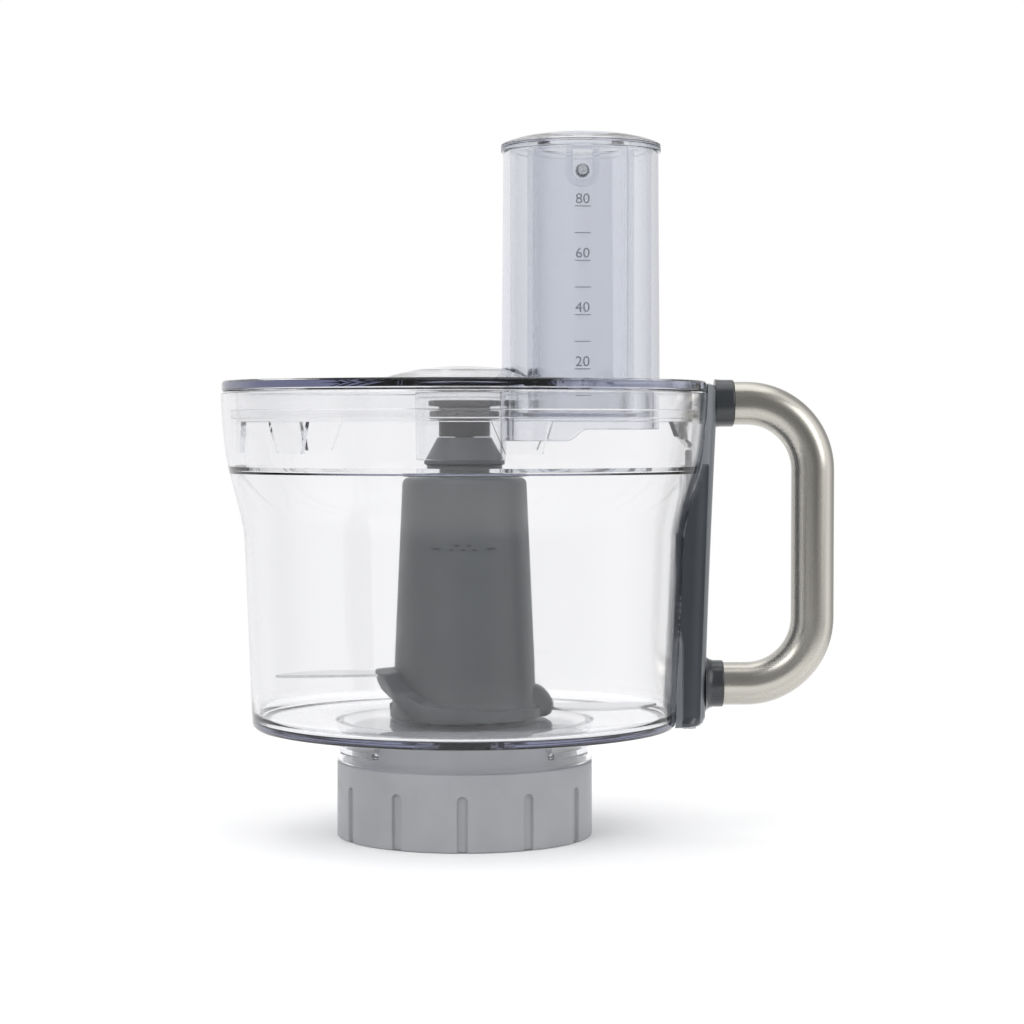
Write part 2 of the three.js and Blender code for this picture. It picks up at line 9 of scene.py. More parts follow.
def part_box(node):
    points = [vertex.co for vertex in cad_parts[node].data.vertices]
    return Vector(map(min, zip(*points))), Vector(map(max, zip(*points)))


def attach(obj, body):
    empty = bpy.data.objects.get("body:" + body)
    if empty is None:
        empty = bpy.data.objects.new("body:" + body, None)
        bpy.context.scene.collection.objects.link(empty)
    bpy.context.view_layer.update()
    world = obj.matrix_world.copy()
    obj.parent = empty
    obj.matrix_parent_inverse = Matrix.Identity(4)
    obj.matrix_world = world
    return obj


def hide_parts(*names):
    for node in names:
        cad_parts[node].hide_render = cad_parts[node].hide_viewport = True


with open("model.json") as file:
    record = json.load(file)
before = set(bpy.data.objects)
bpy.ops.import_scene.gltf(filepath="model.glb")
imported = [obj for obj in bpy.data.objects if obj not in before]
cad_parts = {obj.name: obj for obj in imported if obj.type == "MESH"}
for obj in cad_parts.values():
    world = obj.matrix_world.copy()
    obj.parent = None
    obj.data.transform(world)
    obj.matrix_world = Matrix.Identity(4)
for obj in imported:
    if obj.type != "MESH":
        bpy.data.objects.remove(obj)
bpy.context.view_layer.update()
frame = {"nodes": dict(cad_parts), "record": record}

# Looks of a food processor bowl unit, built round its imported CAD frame. Outlines are in millimetres
# from the bowl's axis; everything is put in the frame, in metres, when its mesh is made.

# ---------------------------------------------------------------- driving dimensions
MM = 0.001
TURN = 2 * math.pi
bowl_low, bowl_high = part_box("bowl")
AXIS = Vector(((bowl_low.x + bowl_high.x) / 2, 0, 0))


def corners(node):
    """A CAD node's lowest and highest corners, in millimetres from the bowl's axis."""
    low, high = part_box(node)
    return (low - AXIS) / MM, (high - AXIS) / MM


RIM_RADIUS, _, RIM_Z = corners("bowl")[1]
SHOULDER_Z = corners("bowl")[0].z
BASE_RADIUS, _, COLLAR_TOP = corners("base_shell")[1]
COLLAR_RADIUS = BASE_RADIUS - 6.8
SKIRT_RADIUS = BASE_RADIUS + 0.2
FLOOR_Z = COLLAR_TOP + 3.2
FLOOR_TOP = FLOOR_Z + 3
LEDGE_Z = RIM_Z - 35
FLUTES = 12
BAYONETS = (90, 210, 330)

LID_RADIUS = corners("lid")[1].x
LID_TOP = RIM_Z + 5.5
LID_LOW = RIM_Z + 0.5
LID_SKIRT_Z = LID_TOP - 18.5
LID_SKIRT_OUTER = 103.8
LID_SKIRT_INNER = 101.8
LUG_Z = LID_SKIRT_Z - 13.5

TUBE_X = (corners("feed_tube")[0].x + corners("feed_tube")[1].x) / 2
TUBE_TOP = corners("feed_tube")[1].z
TUBE_INNER = 32.9
TUBE_OUTER = 36
PUSHER_LOW = corners("pusher_body")[0].z
PUSHER_RADIUS = TUBE_INNER - 0.7
FLANGE_RADIUS = 36.4
SMALL_PUSHER_RADIUS = corners("small_pusher")[1].x - TUBE_X
CAP_RADIUS = 36.3
TOP_Z = corners("pusher_cap")[1].z
DETENT_Z = TUBE_TOP - 10.7

HANDLE_RADIUS = corners("handle_tube")[1].y
HANDLE_X = corners("handle_tube")[1].x - HANDLE_RADIUS
HANDLE_TOP_Z = corners("handle_tube")[1].z - HANDLE_RADIUS
HANDLE_LOW_Z = corners("handle_tube")[0].z + HANDLE_RADIUS
HANDLE_BEND = 30.5
TOP_SOCKET_SEAT = 114.6
LOW_SOCKET_SEAT = 110.2
SOCKET_LENGTH = 8
ROD_X = (corners("interlock_rod")[0].x + corners("interlock_rod")[1].x) / 2

LOW_BLADE_Z = corners("knife_blade_low")[0].z
HIGH_BLADE_Z = corners("knife_blade_high")[0].z
HUB_LOW = corners("knife_hub")[0].z

CAMERA = (21.7, -1170, 187)  # millimetres from the bowl's axis and the floor
CAMERA_PITCH = 1.94  # degrees below level
CAMERA_LENS = 90


# ---------------------------------------------------------------- outlines
def arc_corner(before, corner, after, radius, steps=4):
    """Points that round one corner of an outline."""
    p, a, b = Vector(corner), Vector(before), Vector(after)
    u, v = a - p, b - p
    bend = u.angle(v)
    reach = min(radius / math.tan(bend / 2), 0.48 * u.length, 0.48 * v.length)
    start, end = p + u.normalized() * reach, p + v.normalized() * reach
    points = []
    for i in range(steps + 1):
        t = i / steps
        points.append((1 - t) ** 2 * start + 2 * t * (1 - t) * p + t * t * end)
    return points


def rounded(outline, radius=0.5, least_turn=20):
    """A closed outline with its corners rounded, apart from the gentle ones and those on the axis."""
    points = []
    count = len(outline)
    for i, p in enumerate(outline):
        before, after = outline[i - 1], outline[(i + 1) % count]
        turn = 180 - math.degrees((Vector(before) - Vector(p)).angle(Vector(after) - Vector(p)))
        if turn < least_turn or abs(p[0]) < 1e-6:
            points.append(Vector(p))
            continue
        arc = arc_corner(before, p, after, radius)
        for side, end, place in ((before, arc[0], 0), (after, arc[-1], len(arc) + 1)):
            edge = Vector(side) - Vector(p)
            spare = edge.length - 2 * (end - Vector(p)).length
            arc.insert(place, end + edge.normalized() * min(0.15, 0.3 * max(0, spare)))
        points += arc
    return points


def bezier(p0, p1, p2, p3, steps=16):
    """Points of a cubic curve, both ends included."""
    points = []
    for i in range(steps + 1):
        t = i / steps
        parts = ((1 - t) ** 3, 3 * t * (1 - t) ** 2, 3 * t * t * (1 - t), t**3)
        points.append(sum((Vector(p) * k for p, k in zip((p0, p1, p2, p3), parts)), Vector((0, 0))))
    return points


def smoothstep(low, high, x):
    t = min(1, max(0, (x - low) / (high - low)))
    return t * t * (3 - 2 * t)


def mix(a, b, t):
    return a + (b - a) * t


# ---------------------------------------------------------------- meshes
def piece_from(name, verts, faces, sharp=32, centre=(0, 0)):
    """A smooth-shaded object from points in millimetres round the bowl's axis."""
    mesh = bpy.data.meshes.new(name)
    shift = AXIS + Vector((centre[0], centre[1], 0)) * MM
    mesh.from_pydata([Vector(v) * MM + shift for v in verts], [], faces)
    bm = bmesh.new()
    bm.from_mesh(mesh)
    bmesh.ops.remove_doubles(bm, verts=bm.verts, dist=1e-7)
    bmesh.ops.dissolve_degenerate(bm, edges=bm.edges, dist=1e-7)
    bmesh.ops.recalc_face_normals(bm, faces=bm.faces)
    bm.to_mesh(mesh)
    bm.free()
    mesh.shade_smooth()
    mesh.set_sharp_from_angle(angle=math.radians(sharp))
    piece = bpy.data.objects.new(name, mesh)
    bpy.context.scene.collection.objects.link(piece)
    return piece


def turned(name, outline, angles=160, change=None, centre=(0, 0), sharp=32):
    """A closed outline of (radius, z) turned about Z. change moves a point by its radius, z and angle."""
    if isinstance(angles, int):
        angles = [TURN * i / angles for i in range(angles)]
    verts, rings = [], []
    for r, z in outline:
        if abs(r) < 1e-6:
            rings.append([len(verts)])
            verts.append((0, 0, z))
            continue
        ring = []
        for a in angles:
            rr, zz = change(r, z, a) if change else (r, z)
            ring.append(len(verts))
            verts.append((rr * math.cos(a), rr * math.sin(a), zz))
        rings.append(ring)
    faces = []
    count = len(angles)
    for low, high in zip(rings, rings[1:] + rings[:1]):
        if len(low) == len(high) == 1:
            continue
        for i in range(count):
            j = (i + 1) % count
            quad = [low[i % len(low)], low[j % len(low)], high[j % len(high)], high[i % len(high)]]
            faces.append(list(dict.fromkeys(quad)))
    return piece_from(name, verts, faces, sharp, centre)


def arc_bar(name, outline, start, end, steps=24):
    """A closed outline of (radius, z) turned through part of a circle, with flat ends, in degrees."""
    verts, faces = [], []
    count = len(outline)
    for i in range(steps + 1):
        a = math.radians(mix(start, end, i / steps))
        verts += [(r * math.cos(a), r * math.sin(a), z) for r, z in outline]
    for i in range(steps):
        for j in range(count):
            k = (j + 1) % count
            low, high = i * count, (i + 1) * count
            faces.append([low + j, low + k, high + k, high + j])
    faces.append(list(range(count)))
    faces.append([steps * count + j for j in reversed(range(count))])
    return piece_from(name, verts, faces)


def lofted(name, sections, sharp=32):
    """A closed surface through sections of equal length, capped at both ends. Points are (x, y, z)."""
    count = len(sections[0])
    verts = [p for section in sections for p in section]
    faces = []
    for s in range(len(sections) - 1):
        for i in range(count):
            j = (i + 1) % count
            a, b = s * count, (s + 1) * count
            faces.append([a + i, a + j, b + j, b + i])
    last = (len(sections) - 1) * count
    faces.append(list(range(count)))
    faces.append([last + i for i in reversed(range(count))])
    return piece_from(name, verts, faces, sharp)


def box_piece(name, low, high):
    """A plain block that only cuts or joins another piece."""
    xs, ys, zs = zip(low, high)
    verts = [(x, y, z) for x in xs for y in ys for z in zs]
    faces = [[0, 1, 3, 2], [4, 6, 7, 5], [0, 4, 5, 1], [2, 3, 7, 6], [0, 2, 6, 4], [1, 5, 7, 3]]
    return piece_from(name, verts, faces)


def along_x(piece, z):
    """Lays a piece turned about Z along X instead, at a height, before it is placed."""
    turn = Matrix.Translation(AXIS + Vector((0, 0, z * MM))) @ Matrix.Rotation(TURN / 4, 4, "Y")
    piece.data.transform(turn @ Matrix.Translation(-AXIS))
    return piece


def swept(name, path, radius, sides=48, inner=None):
    """A round tube along a path in the XZ plane: open through the middle if inner is given."""
    sections = []
    for i, p in enumerate(path):
        before, after = path[max(0, i - 1)], path[min(len(path) - 1, i + 1)]
        ahead = (Vector(after) - Vector(before)).normalized()
        side = Vector((-ahead.z, 0, ahead.x))
        ring = []
        for j in range(sides):
            a = TURN * j / sides
            ring.append(Vector(p) + (side * math.cos(a) + Vector((0, 1, 0)) * math.sin(a)) * radius)
        sections.append(ring)
    if inner is None:
        return lofted(name, sections)
    bore = [[Vector(p) + (v - Vector(p)) * (inner / radius) for v in ring] for p, ring in zip(path, sections)]
    verts = [v for ring in sections + bore[::-1] for v in ring]
    total = len(sections) * 2
    faces = []
    for s in range(total):
        for i in range(sides):
            j = (i + 1) % sides
            a, b = s * sides, ((s + 1) % total) * sides
            faces.append([a + i, a + j, b + j, b + i])
    return piece_from(name, verts, faces)


def carved(piece, tools, how="DIFFERENCE", sharp=32):
    """Joins tools to a piece, or cuts them from it, for good."""
    for tool in tools:
        step = piece.modifiers.new("carve", "BOOLEAN")
        step.object = tool
        step.operation = how
        step.solver = "EXACT"
        bpy.context.view_layer.update()
        made = bpy.data.meshes.new_from_object(piece.evaluated_get(bpy.context.evaluated_depsgraph_get()))
        piece.modifiers.clear()
        old = piece.data
        piece.data = made
        bpy.data.meshes.remove(old)
        bpy.data.objects.remove(tool)
    piece.data.shade_smooth()
    piece.data.set_sharp_from_angle(angle=math.radians(sharp))
    return piece


def joined(name, pieces):
    """Several separate shells as one object."""
    bm = bmesh.new()
    for piece in pieces:
        bm.from_mesh(piece.data)
        bpy.data.objects.remove(piece)
    mesh = bpy.data.meshes.new(name)
    bm.to_mesh(mesh)
    bm.free()
    mesh.shade_smooth()
    mesh.set_sharp_from_angle(angle=math.radians(32))
    whole = bpy.data.objects.new(name, mesh)
    bpy.context.scene.collection.objects.link(whole)
    return whole


def placed(piece, material, slot, body, *nodes):
    """Gives a piece its material and its place in the frame."""
    piece.data.materials.clear()
    piece.data.materials.append(material)
    normals = piece.modifiers.new("flat faces stay flat", "WEIGHTED_NORMAL")
    normals.keep_sharp = True
    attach(piece, body)
    if nodes:
        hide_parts(*nodes)
    return piece


# ---------------------------------------------------------------- materials
def linear(red, green, blue):
    """A colour on the 0 to 255 scale as the shader wants it."""
    out = []
    for c in (red, green, blue):
        c /= 255
        out.append(c / 12.92 if c <= 0.04045 else ((c + 0.055) / 1.055) ** 2.4)
    return (*out, 1)


class Nodes:
    """Short names for making a material's nodes."""

    def __init__(self, name):
        self.material = bpy.data.materials.new(name)
        self.material.use_nodes = True
        self.tree = self.material.node_tree
        self.tree.nodes.clear()
        self.out = self.add("ShaderNodeOutputMaterial")
        self.shader = self.add("ShaderNodeBsdfPrincipled")
        self.link(self.shader.outputs[0], self.out.inputs["Surface"])
        self.place = self.add("ShaderNodeTexCoord").outputs["Object"]

    def add(self, kind, **values):
        node = self.tree.nodes.new(kind)
        for key, value in values.items():
            if hasattr(node, key):
                setattr(node, key, value)
            else:
                node.inputs[key.replace("_", " ")].default_value = value
        return node

    def link(self, source, target):
        self.tree.links.new(source, target)

    def set(self, **values):
        for key, value in values.items():
            self.shader.inputs[key.replace("_", " ")].default_value = value

    def stretched(self, scale):
        """Object coordinates scaled along each axis."""
        node = self.add("ShaderNodeMapping")
        node.inputs["Scale"].default_value = scale
        self.link(self.place, node.inputs["Vector"])
        return node.outputs[0]

    def noise(self, scale, detail=2.0, place=None):
        node = self.add("ShaderNodeTexNoise")
        node.inputs["Scale"].default_value = scale
        node.inputs["Detail"].default_value = detail
        self.link(place or self.place, node.inputs["Vector"])
        return node.outputs["Fac"]

    def spread(self, source, low, high):
        """A noise's middle range mapped to between two values."""
        node = self.add("ShaderNodeMapRange")
        for key, value in (("From Min", 0.3), ("From Max", 0.7), ("To Min", low), ("To Max", high)):
            node.inputs[key].default_value = value
        self.link(source, node.inputs["Value"])
        return node.outputs[0]

    def tones(self, source, dark, light):
        """Colour that varies a little with a noise."""
        node = self.add("ShaderNodeValToRGB")
        node.color_ramp.elements[0].position = 0.3
        node.color_ramp.elements[0].color = dark
        node.color_ramp.elements[1].position = 0.7
        node.color_ramp.elements[1].color = light
        self.link(source, node.inputs["Fac"])
        self.link(node.outputs["Color"], self.shader.inputs["Base Color"])

    def bump(self, source, depth, strength=1.0):
        """A relief of a real depth in millimetres."""
        node = self.add("ShaderNodeBump")
        node.inputs["Strength"].default_value = strength
        node.inputs["Distance"].default_value = depth * MM
        self.link(source, node.inputs["Height"])
        self.link(node.outputs[0], self.shader.inputs["Normal"])


def varied(colour, share):
    return tuple(min(1, c * share) for c in colour[:3]) + (1,)


def moulded(name, colour, roughness, grain=0.006, coat=0.0, spread=0.06):
    """Moulded plastic: slight flow in its colour, a fine spark-eroded grain and uneven gloss."""
    n = Nodes(name)
    n.tones(n.noise(38, 3), varied(colour, 1 - spread), varied(colour, 1 + spread))
    n.link(n.spread(n.noise(90, 4), roughness - 0.05, roughness + 0.05), n.shader.inputs["Roughness"])
    n.bump(n.noise(2600, 3), grain)
    n.set(IOR=1.5, Coat_Weight=coat, Coat_Roughness=0.06)
    return n.material


def clear(name, tint, density, low=0.01, high=0.05, ior=1.49):
    """Clear plastic: tinted by depth, faintly uneven gloss, and lamps shine through it."""
    n = Nodes(name)
    n.link(n.spread(n.noise(45, 3), low, high), n.shader.inputs["Roughness"])
    n.set(Base_Color=(1, 1, 1, 1), Transmission_Weight=1.0, IOR=ior)
    pass_through = n.add("ShaderNodeBsdfTransparent")
    pass_through.inputs["Color"].default_value = (0.93, 0.935, 0.945, 1)
    path = n.add("ShaderNodeLightPath")
    blend = n.add("ShaderNodeMixShader")
    n.link(path.outputs["Is Shadow Ray"], blend.inputs[0])
    n.link(n.shader.outputs[0], blend.inputs[1])
    n.link(pass_through.outputs[0], blend.inputs[2])
    n.link(blend.outputs[0], n.out.inputs["Surface"])
    depth = n.add("ShaderNodeVolumeAbsorption")
    depth.inputs["Color"].default_value = tint
    depth.inputs["Density"].default_value = density
    n.link(depth.outputs[0], n.out.inputs["Volume"])
    return n.material


def metal(name, colour, low, high, scale, depth=0.002, anisotropic=0.0):
    """Metal with fine lines: scale says how they are stretched along each axis."""
    n = Nodes(name)
    lines = n.noise(1, 2, n.stretched(scale))
    clouds = n.noise(1, 3, n.stretched(tuple(s * 0.35 for s in scale)))
    n.tones(clouds, varied(colour, 0.9), varied(colour, 1.06))
    n.link(n.spread(lines, low, high), n.shader.inputs["Roughness"])
    n.bump(lines, depth)
    n.set(Metallic=1.0, Anisotropic=anisotropic)
    return n.material


def panelled(name, colour, dark):
    """The column's plastic, with a glossy dark panel between two borders that follow the height."""
    n = Nodes(name)
    axes = n.add("ShaderNodeSeparateXYZ")
    n.link(n.place, axes.inputs[0])

    def border(stops):
        """Distance from the bowl's axis of a border, in metres, from its (height, distance) stops."""
        low, high = stops[0][0], stops[-1][0]
        height = n.add("ShaderNodeMapRange")
        height.inputs["From Min"].default_value = low * MM
        height.inputs["From Max"].default_value = high * MM
        n.link(axes.outputs["Z"], height.inputs["Value"])
        ramp = n.add("ShaderNodeValToRGB")
        elements = ramp.color_ramp.elements
        while len(elements) < len(stops):
            elements.new(0.5)
        for element, (z, x) in zip(elements, stops):
            element.position = (z - low) / (high - low)
            element.color = (x * MM + AXIS.x,) * 3 + (1,)
        n.link(height.outputs[0], ramp.inputs["Fac"])
        return ramp.outputs["Color"]

    def beyond(source, edge, sign):
        """1 on one side of an edge and 0 on the other, over a fraction of a millimetre."""
        gap = n.add("ShaderNodeMath", operation="SUBTRACT")
        n.link(source, gap.inputs[0])
        if isinstance(edge, float):
            gap.inputs[1].default_value = edge
        else:
            n.link(edge, gap.inputs[1])
        fade = n.add("ShaderNodeMapRange")
        fade.inputs["From Min"].default_value = -0.0002 * sign
        fade.inputs["From Max"].default_value = 0.0002 * sign
        n.link(gap.outputs[0], fade.inputs["Value"])
        return fade.outputs[0]

    left = border((
        (50, 98.6), (88, 98.4), (100, 95.6), (135, 95.4), (142, 97.2), (150, 100.5), (160, 104.8),
        (169.5, 107.6),
    ))
    right = border(((50, 106.8), (187, 111.2)))
    depth = n.add("ShaderNodeMath", operation="ABSOLUTE")
    n.link(axes.outputs["Y"], depth.inputs[0])
    share = None
    for part in (
        beyond(axes.outputs["X"], left, 1), beyond(axes.outputs["X"], right, -1),
        beyond(axes.outputs["Z"], 0.0505, 1), beyond(axes.outputs["Z"], 0.1695, -1),
        beyond(depth.outputs[0], 0.012, 1),
    ):
        if share is None:
            share = part
            continue
        both = n.add("ShaderNodeMath", operation="MULTIPLY")
        n.link(share, both.inputs[0])
        n.link(part, both.inputs[1])
        share = both.outputs[0]
    flow = n.spread(n.noise(38, 3), 0.94, 1.06)
    blend = n.add("ShaderNodeMix", data_type="RGBA")
    n.link(share, blend.inputs[0])
    blend.inputs[6].default_value = colour
    blend.inputs[7].default_value = dark
    toned = n.add("ShaderNodeVectorMath", operation="SCALE")
    n.link(blend.outputs[2], toned.inputs[0])
    n.link(flow, toned.inputs["Scale"])
    n.link(toned.outputs[0], n.shader.inputs["Base Color"])
    n.link(n.spread(n.noise(90, 4), 0.18, 0.26), n.shader.inputs["Roughness"])
    n.bump(n.noise(2600, 3), 0.003)
    n.set(IOR=1.5, Coat_Weight=0.35, Coat_Roughness=0.06)
    return n.material


CLEAR = clear("clear_plastic", (0.06, 0.09, 0.34, 1), 9)
TUBE_CLEAR = clear("clear_tube_plastic", (0.02, 0.1, 0.34, 1), 28)
SILICONE = clear("clear_seal", (0.3, 0.32, 0.45, 1), 10, 0.0, 0.03, 1.41)
BASE_GREY = moulded("silver_grey_plastic", linear(150, 151, 154), 0.42, 0.008)
HUB_GREY = moulded("hub_grey_plastic", linear(74, 77, 79), 0.42, 0.004)
COLUMN_GREY = moulded("column_grey_plastic", linear(104, 108, 112), 0.24, 0.003, 0.3)
PANELLED_GREY = panelled("column_with_dark_panel", linear(104, 108, 112), linear(52, 56, 61))
SOCKET_GREY = moulded("socket_dark_plastic", linear(44, 47, 51), 0.25, 0.004, 0.3)
BLACK = moulded("black_plastic", linear(18, 19, 22), 0.4, 0.004)
HANDLE_STEEL = metal("brushed_steel", linear(192, 189, 181), 0.24, 0.3, (24, 2000, 24), 0.0005)
BLADE_STEEL = metal("blade_steel", linear(222, 223, 224), 0.14, 0.24, (90, 2600, 90))
MACHINED = metal("machined_steel", linear(190, 192, 195), 0.2, 0.32, (500, 500, 2600))
GEAR_PLASTIC = moulded("gear_plastic", linear(217, 214, 200), 0.4, 0.004)
BRONZE = metal("sintered_bronze", linear(178, 132, 82), 0.3, 0.45, (1800, 1800, 1800), 0.006)
SEAL_RUBBER = moulded("shaft_seal_rubber", linear(70, 72, 76), 0.6, 0.01)
INK = moulded("scale_print", linear(122, 125, 134), 0.5, 0.002)


# ---------------------------------------------------------------- drive base
def base_angles():
    """Turning steps, fine across each flute and coarse between them."""
    angles = []
    for i in range(FLUTES):
        centre = i * 360 / FLUTES
        angles += [centre + 0.2 * k for k in range(-14, 15)]
        angles += [centre + 2.8 + (30 - 5.6) * k / 9 for k in range(1, 9)]
    return [math.radians(a) for a in sorted(angles)]


def fluted(r, z, angle):
    """The base's outer wall pressed in at the flutes, which end in a round top."""
    half_width, top, depth = 2.2, 24.8, 1.5
    if r < BASE_RADIUS - 0.9 or z > 27:
        return r, z
    pitch = TURN / FLUTES
    across = abs((angle + pitch / 2) % pitch - pitch / 2) * BASE_RADIUS
    above = max(0, z - (top - half_width))
    inside = half_width - math.hypot(across, above)
    return r - depth * smoothstep(-0.35, 0.45, inside), z


def make_base():
    outer_rows = [(BASE_RADIUS, z) for z in (2, 12, 20, 21.5)]
    outer_rows += [(BASE_RADIUS, 22 + 0.25 * i) for i in range(17)]
    low_edge = arc_corner((55.5, 0), (BASE_RADIUS, 0), (BASE_RADIUS, 20), 0.9)
    shoulder = arc_corner((BASE_RADIUS, 20), (BASE_RADIUS, 34.5), (COLLAR_RADIUS, 34.5), 1.1)
    top = COLLAR_TOP
    inner = [
        (COLLAR_RADIUS, 34.5), (COLLAR_RADIUS, top), (9.3, top), (9.3, 33.8), (12, 33.8), (12, top - 3),
        (49, top - 3), (49, 33), (44.5, 33), (44.5, 28), (51.1, 28), (51.1, 12.6), (53.5, 12.6), (53.5, 31.7),
        (55.5, 31.7), (55.5, 0),
    ]
    ring = rounded([(BASE_RADIUS, 0), (BASE_RADIUS, 34.5)] + inner, 0.7)
    outline = low_edge + outer_rows + shoulder + [p for p in ring if p.x < BASE_RADIUS - 2.5]
    shell = turned("base_shell_body", outline, base_angles(), fluted, sharp=38)
    lug = rounded([(50.6, 42), (54.8, 42), (54.8, 44.5), (50.6, 44.5)], 0.5)
    lugs = [arc_bar("lug", lug, a - 15, a + 15) for a in BAYONETS]
    whole = joined("drive_base", [shell] + lugs)
    placed(whole, BASE_GREY, "base_grey", "base", "base_shell")


# ---------------------------------------------------------------- bowl
def wall_outline(offset=0.0):
    """The bowl's outer side from its lower corner to its rim, moved out by an offset."""
    points = [Vector((96.9, 52.6))]
    points += bezier((96.9, 52.6), (98.2, 85), (99.2, 112), (100.1, 134), 8)[1:]
    points += bezier((100.1, 134), (100.8, 149), (107.9, 163), (109.2, 180), 18)[1:]
    points += [Vector((110.1, 189)), Vector((RIM_RADIUS, 198)), Vector((RIM_RADIUS, RIM_Z))]
    return [Vector((p.x + offset, p.y)) for p in points]


def bowl_outline():
    corner = [Vector((94.4, FLOOR_Z)), Vector((95.8, 50.1)), Vector((96.6, 51.1))]
    skin = wall_outline(-2.8)[::-1]
    upper = [p for p in skin if p.y > LEDGE_Z + 2]
    ledge = [Vector((105.2, LEDGE_Z + 0.5)), Vector((104.1, LEDGE_Z - 0.5))]
    lower = [p for p in skin if 60 < p.y < LEDGE_Z - 1]
    lower += bezier((94.2, 58), (93.8, 54.6), (92.4, 52.9), (89, FLOOR_TOP), 8)
    chimney = [(19, FLOOR_TOP), (18.4, 146), (15.5, 146), (15.5, FLOOR_Z)]
    skirt = [(56, FLOOR_Z), (56, SHOULDER_Z), (SKIRT_RADIUS, SHOULDER_Z), (SKIRT_RADIUS, FLOOR_Z)]
    outline = skirt + corner + wall_outline() + upper + ledge + lower + chimney
    return rounded([tuple(p) for p in outline], 0.55)


def upright_rod(name, radius, low, high, x, sides=24):
    outline = [(0, low), (radius, low), (radius, high), (0, high)]
    return turned(name, outline, sides, centre=(x, 0))


def make_bowl():
    body = turned("clear_bowl", bowl_outline(), 216, sharp=30)
    lug = rounded([(52.3, 38.5), (57, 38.5), (57, 41.5), (52.3, 41.5)], 0.4)
    extras = [arc_bar("lug", lug, a - 15, a + 15) for a in BAYONETS]
    extras += [
        box_piece("rib", (96.2, -10, 53.5), (98.8, 10, 138)),
        box_piece("boss", (96.2, -5, 53.6), (106.4, 5, 60)),
        box_piece("guide_low", (96.2, -6, 86), (106.4, 6, 89.7)),
        box_piece("guide_high", (99.4, -6, 136), (106.4, 6, LEDGE_Z - 0.01)),
    ]
    carved(body, extras, "UNION", 30)
    bores = [upright_rod("bore", 2.3, 80, 170, ROD_X), upright_rod("bore", 1.9, 53, 59, ROD_X)]
    carved(body, bores, sharp=30)
    placed(body, CLEAR, "clear_plastic", "bowl", "bowl")


# ---------------------------------------------------------------- handle
def handle_path():
    """The tube's centreline, from the upper socket round to the lower one."""
    x, r = HANDLE_X, HANDLE_BEND
    points = [(TOP_SOCKET_SEAT + SOCKET_LENGTH + 0.3, 0, HANDLE_TOP_Z)]
    for i in range(25):
        a = TURN / 4 * (1 - i / 24)
        points.append((x - r + r * math.cos(a), 0, HANDLE_TOP_Z - r + r * math.sin(a)))
    for i in range(25):
        a = -TURN / 4 * i / 24
        points.append((x - r + r * math.cos(a), 0, HANDLE_LOW_Z + r + r * math.sin(a)))
    points.append((LOW_SOCKET_SEAT + SOCKET_LENGTH + 0.1, 0, HANDLE_LOW_Z))
    return [Vector(p) for p in points]


def make_socket(name, inner, seat, flare, z, node):
    """A dark socket with a flared foot on the column and a fine lip at the tube's end."""
    ring, end = 10.7, seat + SOCKET_LENGTH
    outline = [
        (0, inner), (8.4, inner), (8.4, seat - 0.6), (ring + flare, seat - 0.6),
        (ring + 0.45 * flare, seat + 0.5), (ring + 0.15 * flare, seat + 1.8), (ring, seat + 3.4),
        (ring, end - 0.8), (ring - 0.25, end), (8.1, end), (8.1, end + 6), (0, end + 6),
    ]
    socket = along_x(turned(name, rounded(outline, 0.4), 72), z)
    placed(socket, SOCKET_GREY, "column_grey", "bowl", node)


def column_x(z):
    """The column's outer side at a height."""
    return mix(109.6, 114.2, min(1, max(0, (z - 57) / 130)) ** 1.3)


def panel_share(x, z):
    """How far a point on the column's side lies inside the tear-shaped panel, from 0 to 1."""
    left = mix(98.5, 95.5, smoothstep(86, 102, z))
    if z > 135:
        left = mix(95.5, 107.6, min(1, (z - 135) / 34.5) ** 0.9)
    right = column_x(z) - 3.2
    side = min(x - left, right - x)
    ends = min(z - 51, 169.5 - z)
    return smoothstep(-0.3, 0.9, min(side, ends))


def column_section(z, inset, pull=0.0, recess=0.0):
    """Plan section of the column at a height: flat sides and round outer corners."""
    half, corner, x_out = 17 - inset, 9 - inset / 2, column_x(z) - inset - pull
    flat = [mix(88, x_out - corner, i / 40) for i in range(40)]
    turn = [(x_out - corner + corner * math.sin(t), half - corner + corner * math.cos(t))
            for t in (TURN / 4 * i / 10 for i in range(11))]
    side = [(x, half) for x in flat] + turn
    side = [(x, y - recess * panel_share(x, z) * smoothstep(3, 10, y)) for x, y in side]
    return [Vector((x, y, z)) for x, y in side] + [Vector((x, -y, z)) for x, y in side[::-1]]


def make_column():
    levels = [mix(54, 203, i / 149) for i in range(150)]
    skin = [column_section(50, 1.2, 3.0), column_section(50.6, 0.3, 2.0), column_section(52, 0, 0.9)]
    skin += [column_section(z, 0, 0, 1.1) for z in levels]
    skin += [column_section(205.2, 0.2, 0.8), column_section(206, 1.0, 2)]
    column = lofted("handle_column", skin, 40)
    hollow = lofted("hollow", [column_section(z, 2.9) for z in (52.6, 75, 100, 130, 160, 184)])
    side = [(94.8, 40)] + [tuple(p) for p in wall_outline(0.4)] + [(RIM_RADIUS + 0.4, 210)]
    bowl_room = turned("bowl_room", [(0, 40), *side, (0, 210)], 216)
    tunnel = [(0, 92), (8.8, 92), (8.8, 130), (0, 130)]
    holes = [along_x(turned("hole", tunnel, 40), z) for z in (HANDLE_TOP_Z, HANDLE_LOW_Z)]
    holes.append(upright_rod("hole", 2.2, 48, 53.4, ROD_X))
    carved(column, [hollow, bowl_room] + holes, sharp=40)
    placed(column, PANELLED_GREY, "column_grey", "bowl", "handle_cover")


